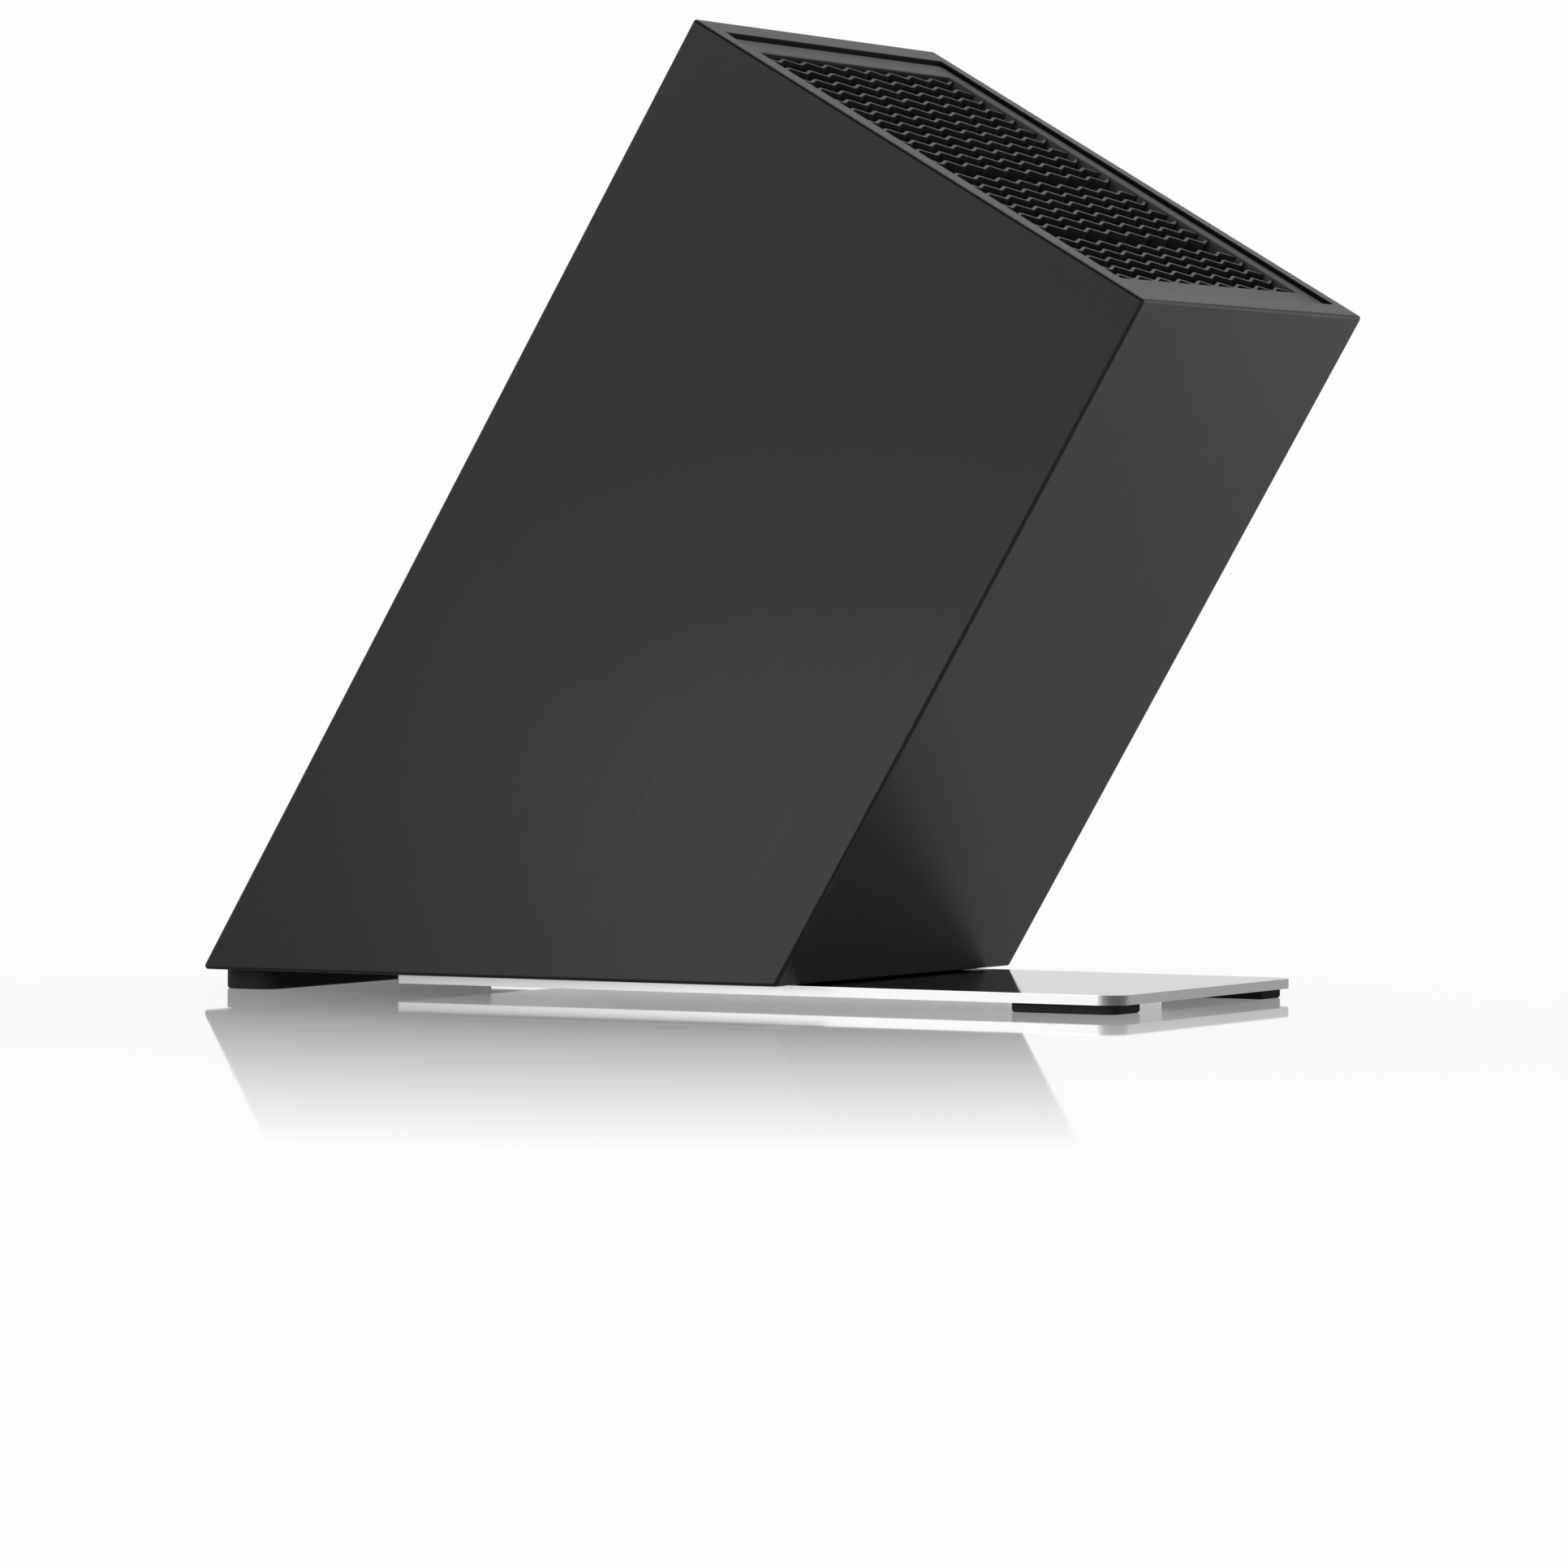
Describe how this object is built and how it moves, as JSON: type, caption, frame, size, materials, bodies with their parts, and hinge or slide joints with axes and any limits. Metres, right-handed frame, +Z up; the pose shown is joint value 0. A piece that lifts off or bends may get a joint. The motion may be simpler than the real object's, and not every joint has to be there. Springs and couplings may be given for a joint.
{
  "type": "knife block",
  "caption": "Forward-leaning square metal tube on a thin steel foot plate, with a lift-out insert of zigzag plastic lamellas that grips knife blades of any shape.",
  "frame": {"origin": "on the ground, under the middle of the block's outline", "axes": "+X is the way the block leans, over the foot plate; +Y is to its left; +Z is up"},
  "size_m": [0.2392, 0.13, 0.2253],
  "materials": {
    "casing": "black anodised, finely brushed along the tube",
    "floor": "black anodised, matt",
    "plate": "polished stainless steel, faint brushing",
    "screw": "plain stainless steel",
    "rubber": "matt black",
    "insert": "fine spark-eroded grain",
    "lamella": "matt, slightly flexible sheet"
  },
  "bodies": {
    "block": {"casing": "casing", "casing_floor": "floor", "base_plate": "plate", "plate_screws": "screw", "rear_foot": "rubber", "front_foot_left": "rubber", "front_foot_right": "rubber"},
    "insert": {"insert_shell": "insert", "insert_base": "insert", "lamella_01": "lamella", "lamella_02": "lamella", "lamella_03": "lamella", "lamella_04": "lamella", "lamella_05": "lamella", "lamella_06": "lamella", "lamella_07": "lamella", "lamella_08": "lamella", "lamella_09": "lamella", "lamella_10": "lamella", "lamella_11": "lamella", "lamella_12": "lamella", "lamella_13": "lamella", "lamella_14": "lamella", "lamella_15": "lamella", "lamella_16": "lamella", "lamella_17": "lamella", "lamella_18": "lamella", "lamella_19": "lamella", "lamella_20": "lamella", "lamella_21": "lamella", "lamella_22": "lamella"}
  },
  "joints": [
    {"name": "insert_lift", "type": "slide", "parent": "block", "child": "insert", "axis": [0.5, 0, 0.866], "range_m": [0, 0.25]}
  ]
}
